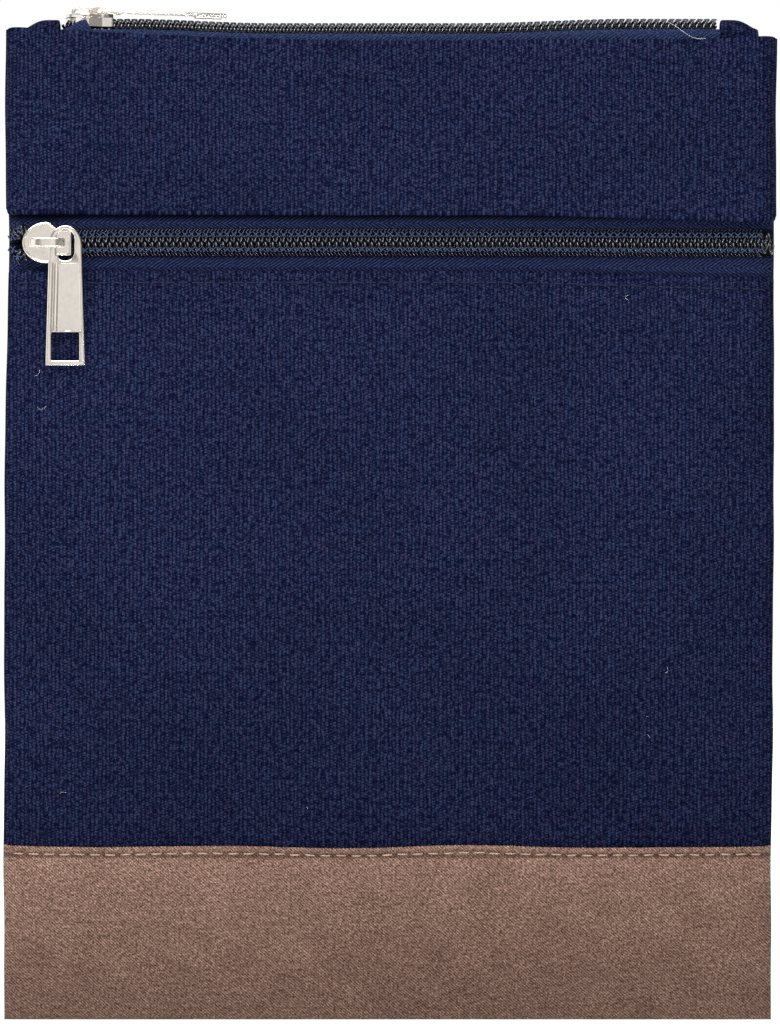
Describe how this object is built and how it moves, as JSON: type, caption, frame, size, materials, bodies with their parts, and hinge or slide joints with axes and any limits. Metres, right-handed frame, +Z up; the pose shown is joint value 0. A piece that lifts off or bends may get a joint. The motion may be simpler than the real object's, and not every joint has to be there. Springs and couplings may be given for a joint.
{
  "type": "travel document pouch",
  "caption": "Flat canvas pouch with a zipped mouth along its top edge, a zipped pocket across its front and a brushed contrasting base.",
  "frame": {"origin": "middle of the bottom edge, at the middle of the overall box", "axes": "+Z up the pouch towards its mouth, -Y out of the front with the pocket zip, +X to the right as the front is seen"},
  "size_m": [0.18, 0.0166, 0.2355],
  "materials": {
    "canvas": "matte plain weave, navy",
    "brushed_base": "brushed twill, taupe brown",
    "lining": "smooth thin weave, dark navy",
    "zip_tape": "herringbone tape, navy",
    "zip_coil": "glossy monofilament, near black",
    "nickel": "bright polished nickel plate"
  },
  "bodies": {
    "pouch": {"front_upper_band": "canvas", "front_pocket_panel": "canvas", "front_base_panel": "brushed_base", "back_panel": "canvas", "back_base_panel": "brushed_base", "pocket_backing": "lining", "front_lining": "lining", "back_lining": "lining", "pocket_zip_upper_tape": "zip_tape", "pocket_zip_lower_tape": "zip_tape", "pocket_zip_upper_coil": "zip_coil", "pocket_zip_lower_coil": "zip_coil", "mouth_zip_front_tape": "zip_tape", "mouth_zip_back_tape": "zip_tape", "mouth_zip_front_coil": "zip_coil", "mouth_zip_back_coil": "zip_coil", "mouth_left_end_tab": "canvas", "mouth_right_end_tab": "canvas"},
    "pocket_slider": {"pocket_slider_body": "nickel", "pocket_slider_crown": "nickel"},
    "pocket_pull": {"pocket_zip_pull": "nickel"},
    "mouth_slider": {"mouth_slider_body": "nickel", "mouth_slider_crown": "nickel"},
    "mouth_pull": {"mouth_zip_pull": "nickel"}
  },
  "joints": [
    {"name": "pocket_zip_slide", "type": "slide", "parent": "pouch", "child": "pocket_slider", "axis": [1, 0, 0], "range_m": [0, 0.158]},
    {"name": "pocket_pull_swing", "type": "hinge", "parent": "pocket_slider", "child": "pocket_pull", "pos_m": [-0.075, -0.00672, 0.1794], "axis": [0, -1, 0], "range_deg": [-45, 225]},
    {"name": "mouth_zip_slide", "type": "slide", "parent": "pouch", "child": "mouth_slider", "axis": [1, 0, 0], "range_m": [0, 0.139]},
    {"name": "mouth_pull_flip", "type": "hinge", "parent": "mouth_slider", "child": "mouth_pull", "pos_m": [-0.0698, 0.00187, 0.234], "axis": [0, -1, 0], "range_deg": [0, 180]}
  ]
}
